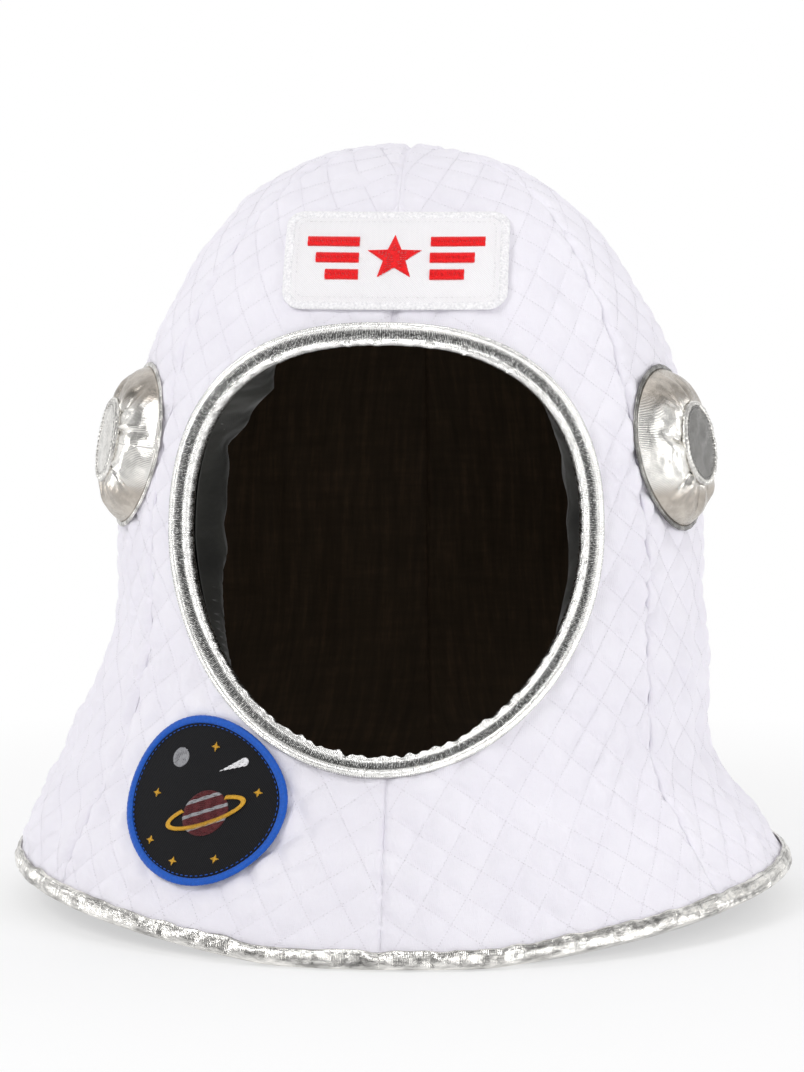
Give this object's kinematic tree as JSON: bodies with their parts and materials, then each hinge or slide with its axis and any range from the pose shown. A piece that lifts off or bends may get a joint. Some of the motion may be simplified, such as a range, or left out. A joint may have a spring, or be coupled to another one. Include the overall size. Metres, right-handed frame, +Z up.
{
  "type": "soft costume astronaut helmet",
  "caption": "Soft pull-on costume space helmet of quilted white cloth with a silver-piped face opening, bound hem and padded silver ear pods.",
  "frame": {"origin": "on the floor that the hem rests on, under the middle of the helmet", "axes": "+Z up towards the crown, -Y out of the face opening, +X to the right of someone facing the helmet"},
  "size_m": [0.3832, 0.3925, 0.3655],
  "materials": {
    "quilted_cloth": "white quilted woven polyester, soft matte with a faint sheen",
    "foam": "open-cell foam sheet",
    "lining_satin": "black satin lining, soft sheen",
    "silver_lame": "silver foil lame over knit, shiny and finely wrinkled",
    "stuffing": "loose polyester stuffing",
    "white_twill": "white twill, matte",
    "white_thread": "white rayon thread, satin",
    "red_thread": "red rayon satin stitch",
    "black_weave": "black woven ground, matte",
    "blue_thread": "blue rayon overlock edge",
    "maroon_thread": "maroon woven thread",
    "gold_thread": "gold rayon thread",
    "grey_thread": "grey woven thread"
  },
  "bodies": {
    "root": {"shell_front_left": "quilted_cloth", "shell_front_right": "quilted_cloth", "shell_side_left": "quilted_cloth", "shell_side_right": "quilted_cloth", "shell_back_left": "quilted_cloth", "shell_back_right": "quilted_cloth", "foam_front_left": "foam", "foam_front_right": "foam", "foam_side_left": "foam", "foam_side_right": "foam", "foam_back_left": "foam", "foam_back_right": "foam", "lining_front_left": "lining_satin", "lining_front_right": "lining_satin", "lining_side_left": "lining_satin", "lining_side_right": "lining_satin", "lining_back_left": "lining_satin", "lining_back_right": "lining_satin", "face_piping": "silver_lame", "hem_binding": "silver_lame", "ear_pod_flange_left": "silver_lame", "ear_pod_wall_left": "silver_lame", "ear_pod_cap_left": "silver_lame", "ear_pod_welt_left": "silver_lame", "ear_pod_fill_left": "stuffing", "ear_pod_flange_right": "silver_lame", "ear_pod_wall_right": "silver_lame", "ear_pod_cap_right": "silver_lame", "ear_pod_welt_right": "silver_lame", "ear_pod_fill_right": "stuffing", "forehead_patch_ground": "white_twill", "forehead_patch_border": "white_thread", "forehead_patch_motif": "red_thread", "round_patch_ground": "black_weave", "round_patch_border": "blue_thread", "round_patch_planet": "maroon_thread", "round_patch_planet_ring": "gold_thread", "round_patch_moon": "grey_thread", "round_patch_stars": "gold_thread", "round_patch_comet": "white_thread"}
  },
  "joints": []
}
